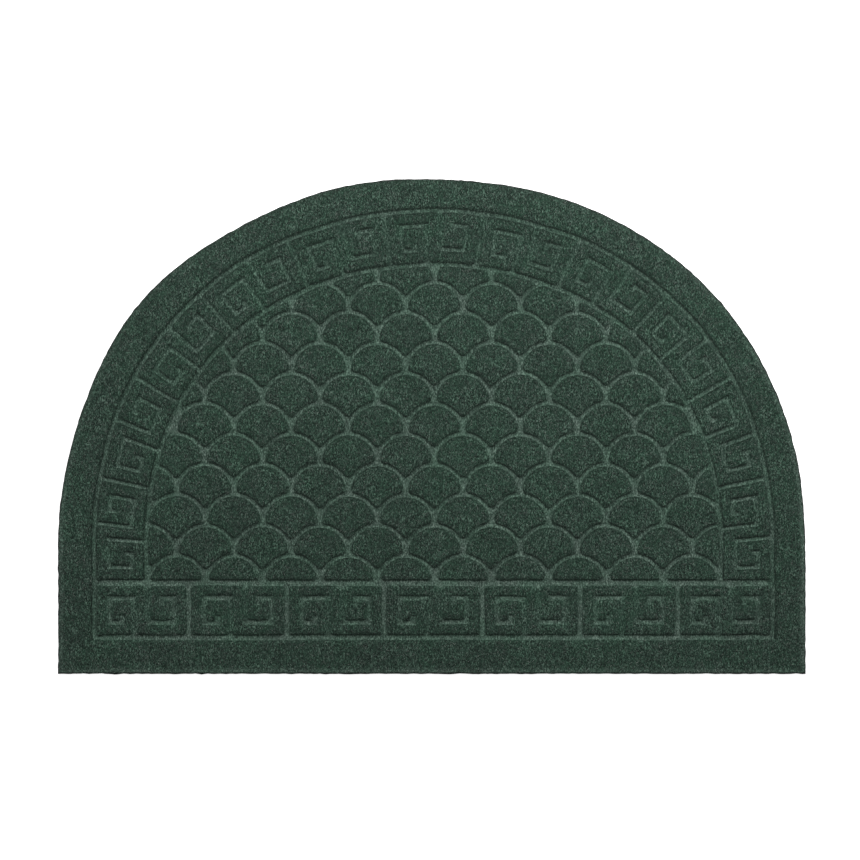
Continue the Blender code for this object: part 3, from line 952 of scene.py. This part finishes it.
def pile_material():
    """Needle-punched felt: loose on the raised pile, flattened on the pressed floors."""
    material, tree, shader = new_material(
        "pile_felt",
        Sheen_Weight=0.12,
        Sheen_Roughness=0.6,
        Sheen_Tint=PILE_SHEEN,
        Specular_IOR_Level=0.18,
    )
    grain = mix(tree, STRAND_SHARE, noise(tree, FINE_NOISE), noise(tree, STRAND_NOISE))
    calm = ranged(tree, noise(tree, WORN_NOISE), (0.0, CALMEST), WORN_RANGE)
    grain = mix(tree, calm, grain, NOISE_MIDDLE)
    loose, flat = ramp(tree, grain, LOOSE_PILE), ramp(tree, grain, FLAT_PILE)
    # pressed: how flattened the felt looks, with painted shade on the scales' rising lines
    pressed = attribute(tree, "pressed")
    taken = ranged(tree, noise(tree, TAKEN_NOISE), TAKEN, TAKEN_RANGE)
    flattened = put(
        tree, "ShaderNodeMath", {0: pressed, 1: taken}, operation="MULTIPLY", use_clamp=True
    ).outputs[0]
    colour = blend(tree, flattened, loose, flat)
    # The band inside the cut takes the flattened colour: flattened felt, with painted light
    colour = blend(tree, attribute(tree, "edge"), colour, flat)
    # The rim value darkens the felt: painted shade on the raised pile's walls, and the cut's dark
    # line
    rim = ramp(tree, attribute(tree, "rim"), PAINTED_SHADE_AND_CUT_LINE_TINT)
    colour = blend(tree, 1.0, colour, rim, "MULTIPLY")
    tree.links.new(mottled(tree, colour), shader.inputs["Base Color"])
    tree.links.new(ranged(tree, pressed, PILE_ROUGHNESS), shader.inputs["Roughness"])
    tree.links.new(bumped(tree, grain, PILE_BUMP), shader.inputs["Normal"])
    return material


def fibre_material():
    """Loose fibres, each of one shade."""
    material, tree, shader = new_material(
        "pile_fibre",
        Roughness=0.75,
        Sheen_Weight=0.10,
        Sheen_Roughness=0.5,
        Sheen_Tint=PILE_SHEEN,
        Specular_IOR_Level=0.25,
    )
    island = put(tree, "ShaderNodeNewGeometry").outputs["Random Per Island"]
    shade = ramp(tree, island, FIBRE_COLOURS)
    tree.links.new(mottled(tree, shade), shader.inputs["Base Color"])
    return material


def backing_material():
    """Dark rubber with a fine grain."""
    material, tree, shader = new_material("backing_rubber", Specular_IOR_Level=0.35)
    grain = noise(tree, RUBBER_NOISE)
    tree.links.new(ramp(tree, grain, RUBBER_COLOURS), shader.inputs["Base Color"])
    tree.links.new(ranged(tree, grain, RUBBER_ROUGHNESS), shader.inputs["Roughness"])
    tree.links.new(bumped(tree, grain, RUBBER_BUMP), shader.inputs["Normal"])
    return material


def make_camera():
    """The photograph's view, from straight above."""
    data = bpy.data.cameras.new("camera")
    data.lens, data.sensor_width = LENS, SENSOR
    camera = bpy.data.objects.new("camera", data)
    bpy.context.scene.collection.objects.link(camera)
    distance = VIEW_SIDE * LENS / SENSOR
    middle = (pile_low[2] + pile_high[2]) / 2
    camera.location = (*VIEW_MIDDLE, middle + distance)
    bpy.context.scene.camera = camera


def make_studio():
    """A plain white floor, an even white sky and the soft panels."""
    scene = bpy.context.scene
    scene.view_settings.view_transform = "Standard"
    material, _, shader = new_material("studio_floor", Roughness=0.9)
    shader.inputs["Base Color"].default_value = (*FLOOR_COLOUR, 1.0)
    shader.inputs["Emission Color"].default_value = WHITE
    shader.inputs["Emission Strength"].default_value = FLOOR_GLOW
    half = FLOOR_SIDE / 2
    corners = np.array([(-half, -half), (half, -half), (half, half), (-half, half)])
    places = np.column_stack([corners, np.full(4, -FLOOR_DROP)])
    floor = mesh_object("floor", places, np.array([[0, 1, 2, 3]]), material, smooth=False)
    sky = bpy.data.worlds.new("sky")
    sky.use_nodes = True
    background = sky.node_tree.nodes["Background"]
    background.inputs["Color"].default_value = WHITE
    background.inputs["Strength"].default_value = SKY_STRENGTH
    scene.world = sky
    for name, place, side, power in PANELS:
        light = bpy.data.lights.new(name, "AREA")
        light.shape, light.size, light.energy = "SQUARE", side, power
        panel = bpy.data.objects.new(name, light)
        scene.collection.objects.link(panel)
        panel.location = place
        panel.rotation_euler = Vector(place).to_track_quat("Z", "Y").to_euler()


make_camera()
make_studio()

pile = make_pile(pile_material())
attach(pile, "root")
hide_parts("pile_face")

fibres = make_fibres(fibre_material())
for piece in fibres:
    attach(piece, "root")

backing = make_backing(backing_material())
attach(backing, "root")
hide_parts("backing")
